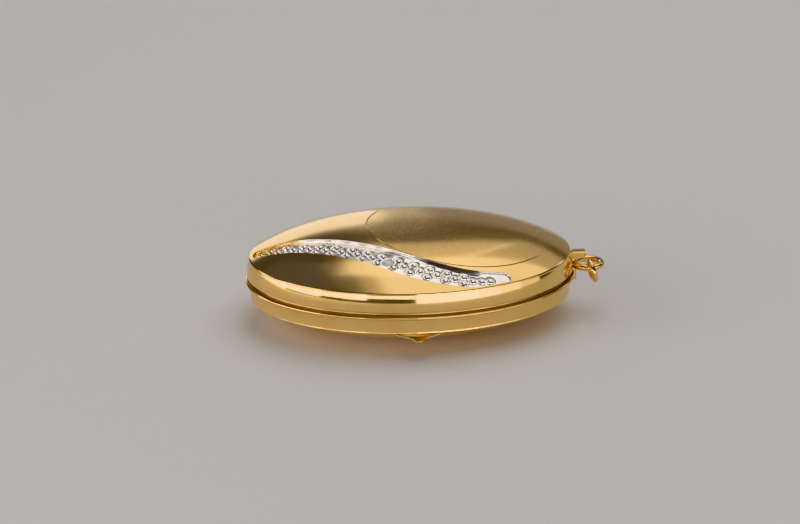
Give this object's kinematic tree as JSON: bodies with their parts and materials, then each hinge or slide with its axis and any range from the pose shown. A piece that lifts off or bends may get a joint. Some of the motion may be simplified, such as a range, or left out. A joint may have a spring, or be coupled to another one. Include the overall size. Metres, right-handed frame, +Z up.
{
  "type": "oval locket",
  "caption": "Oval domed locket with a hinged cover, a curved inlaid band of beads and a stone, a thumb lip and a ring for a chain.",
  "frame": {"origin": "on the surface the locket lies on, under the middle of the oval case", "axes": "+X along the case to the ring, -Y the side with the thumb lip, +Y the hinge side, +Z up through the front cover"},
  "size_m": [0.0337, 0.0245, 0.0088],
  "materials": {
    "case_gold": "polished",
    "inlay_white_metal": "polished",
    "stone": "cut and polished"
  },
  "bodies": {
    "back": {"back_case": "case_gold", "hinge_pin": "case_gold", "jump_ring": "case_gold"},
    "cover": {"front_cover": "case_gold", "swirl_inlay": "inlay_white_metal", "centre_stone": "stone"}
  },
  "joints": [
    {"name": "cover_hinge", "type": "hinge", "parent": "back", "child": "cover", "pos_m": [0, 0.01165, 0.00432], "axis": [-1, 0, 0], "range_deg": [0, 150]}
  ]
}
